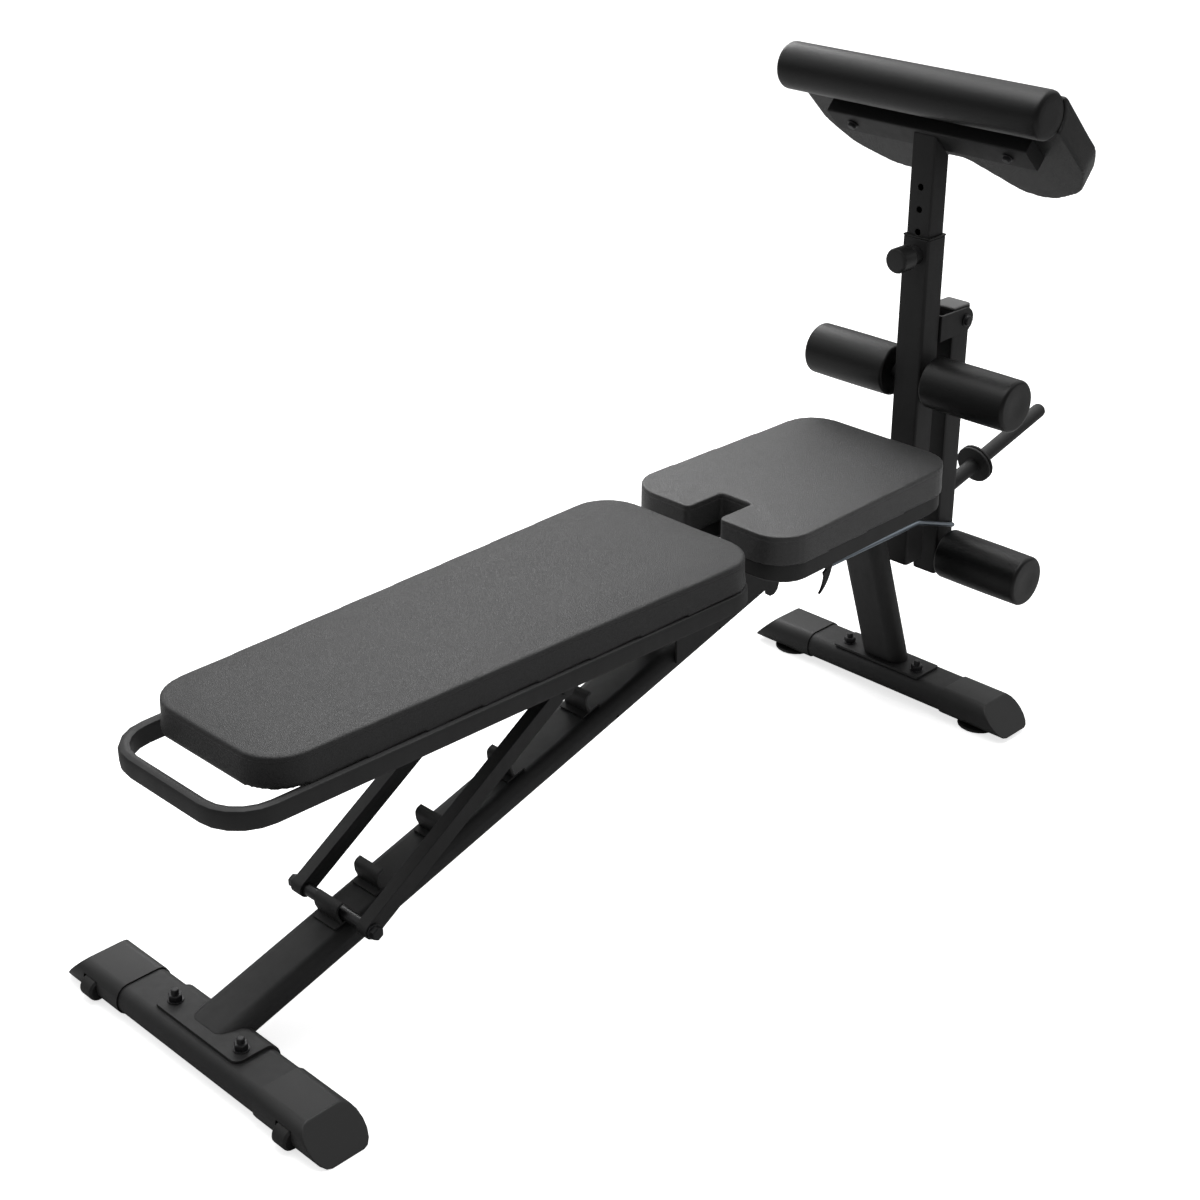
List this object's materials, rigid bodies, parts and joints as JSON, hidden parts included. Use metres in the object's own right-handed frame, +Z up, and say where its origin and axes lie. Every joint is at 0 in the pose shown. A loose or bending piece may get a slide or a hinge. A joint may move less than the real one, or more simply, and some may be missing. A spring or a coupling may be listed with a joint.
{
  "type": "adjustable weight bench",
  "caption": "Weight bench with declining beam, reclining back pad on ladder strut, tilting seat, leg arm with foam rollers, plate peg and height-adjustable arm-curl pad",
  "frame": {"origin": "centre of the overall length and width, on the floor under the bench", "axes": "+X from the carrying handle towards the leg arm, +Y to the left of someone facing +X, +Z up"},
  "size_m": [1.8452, 0.5538, 1.0446],
  "materials": {
    "powder_coat": "matte black fine-texture powder coat",
    "pad_vinyl": "fine-grained black vinyl, low sheen",
    "roller_vinyl": "smooth black vinyl skin over foam, satin",
    "black_plastic": "moulded black plastic, fine spark texture",
    "grey_plastic": "mid grey moulded plastic",
    "pad_shell": "black textured pad shell",
    "zinc_steel": "bright zinc plated, faint blue tint",
    "bolt_steel": "black oxide fasteners, satin",
    "rubber": "black rubber, dull"
  },
  "bodies": {
    "frame": {"front_foot_tube": "powder_coat", "front_cap_left": "black_plastic", "front_cap_right": "black_plastic", "front_saddle_plate": "powder_coat", "front_bolt_left": "bolt_steel", "front_bolt_right": "bolt_steel", "main_beam": "powder_coat", "ladder_hook_1": "powder_coat", "ladder_hook_2": "powder_coat", "ladder_hook_3": "powder_coat", "ladder_hook_4": "powder_coat", "ladder_hook_5": "powder_coat", "rear_foot_tube": "powder_coat", "rear_cap_left": "black_plastic", "rear_cap_right": "black_plastic", "rear_base_plate": "powder_coat", "rear_bolt_left": "bolt_steel", "rear_bolt_right": "bolt_steel", "rear_post": "powder_coat", "seat_rail": "powder_coat", "pivot_bracket": "powder_coat", "upright_tube": "powder_coat", "upright_bush": "black_plastic", "pin_boss": "powder_coat", "arm_bracket": "powder_coat", "arm_pivot_bolt": "bolt_steel", "upper_roller_bar": "powder_coat", "seat_catch_bar": "bolt_steel"},
    "back": {"back_pad": "pad_vinyl", "back_board": "pad_shell", "back_frame": "powder_coat", "back_rail": "powder_coat"},
    "strut": {"strut_left": "powder_coat", "strut_right": "powder_coat", "strut_foot_rod": "bolt_steel"},
    "seat": {"seat_pad": "pad_vinyl", "seat_board": "pad_shell", "seat_rack_bracket": "powder_coat"},
    "preacher": {"inner_tube": "powder_coat", "preacher_cross_tube": "powder_coat", "preacher_board": "pad_shell", "preacher_cushion": "pad_vinyl", "preacher_roll": "roller_vinyl", "preacher_bolt_left": "bolt_steel", "preacher_bolt_right": "bolt_steel"},
    "pin": {"pull_pin": "black_plastic"},
    "arm": {"arm_tube": "powder_coat", "arm_top_cap": "grey_plastic", "arm_bottom_cap": "black_plastic", "plate_post": "powder_coat", "lower_roller_bar": "powder_coat"},
    "latch": {"latch_wire": "zinc_steel"},
    "roller_upper_left_body": {"roller_upper_left": "roller_vinyl"},
    "roller_upper_right_body": {"roller_upper_right": "roller_vinyl"},
    "roller_lower_left_body": {"roller_lower_left": "roller_vinyl"},
    "roller_lower_right_body": {"roller_lower_right": "roller_vinyl"},
    "wheel_left_body": {"wheel_left": "rubber"},
    "wheel_right_body": {"wheel_right": "rubber"},
    "levelling_foot_left_body": {"levelling_foot_left": "rubber"},
    "levelling_foot_right_body": {"levelling_foot_right": "rubber"}
  },
  "joints": [
    {"name": "back_recline", "type": "hinge", "parent": "frame", "child": "back", "pos_m": [-0.0393, 0, 0.4025], "axis": [0, 1, 0], "range_deg": [0, 84]},
    {"name": "strut_swing", "type": "hinge", "parent": "back", "child": "strut", "pos_m": [-0.3093, 0, 0.3445], "axis": [0, 1, 0], "range_deg": [-126, 0]},
    {"name": "seat_tilt", "type": "hinge", "parent": "frame", "child": "seat", "pos_m": [0.0807, 0, 0.3755], "axis": [0, -1, 0], "range_deg": [0, 15]},
    {"name": "arm_swing", "type": "hinge", "parent": "frame", "child": "arm", "pos_m": [0.6315, 0, 0.6243], "axis": [0, -1, 0], "range_deg": [0, 95]},
    {"name": "latch_lift", "type": "hinge", "parent": "arm", "child": "latch", "pos_m": [0.6392, 0, 0.2655], "axis": [0, 1, 0], "range_deg": [0, 6]},
    {"name": "pad_height", "type": "slide", "parent": "frame", "child": "preacher", "axis": [0, 0, 1], "range_m": [-0.105, 0.035]},
    {"name": "pin_pull", "type": "slide", "parent": "frame", "child": "pin", "axis": [1, 0, 0], "range_m": [0, 0.01]},
    {"name": "roller_upper_left_spin", "type": "hinge", "parent": "frame", "child": "roller_upper_left_body", "pos_m": [0.5432, 0.1155, 0.5459], "axis": [0, 1, 0], "continuous": true},
    {"name": "roller_lower_left_spin", "type": "hinge", "parent": "arm", "child": "roller_lower_left_body", "pos_m": [0.6207, 0.1155, 0.222], "axis": [0, 1, 0], "continuous": true},
    {"name": "wheel_left_spin", "type": "hinge", "parent": "frame", "child": "wheel_left_body", "pos_m": [-0.9066, 0.2071, 0.0168], "axis": [0, 1, 0], "continuous": true},
    {"name": "levelling_left_turn", "type": "hinge", "parent": "frame", "child": "levelling_foot_left_body", "pos_m": [0.516, 0.1948, 0], "axis": [0, 0, 1], "continuous": true},
    {"name": "roller_upper_right_spin", "type": "hinge", "parent": "frame", "child": "roller_upper_right_body", "pos_m": [0.5432, -0.1155, 0.5459], "axis": [0, 1, 0], "continuous": true},
    {"name": "roller_lower_right_spin", "type": "hinge", "parent": "arm", "child": "roller_lower_right_body", "pos_m": [0.6207, -0.1155, 0.222], "axis": [0, 1, 0], "continuous": true},
    {"name": "wheel_right_spin", "type": "hinge", "parent": "frame", "child": "wheel_right_body", "pos_m": [-0.9066, -0.2071, 0.0168], "axis": [0, 1, 0], "continuous": true},
    {"name": "levelling_right_turn", "type": "hinge", "parent": "frame", "child": "levelling_foot_right_body", "pos_m": [0.516, -0.1948, 0], "axis": [0, 0, 1], "continuous": true}
  ],
  "couplings": [
    {"joint": "strut_swing", "follows": "back_recline", "ratio": -1.5}
  ]
}
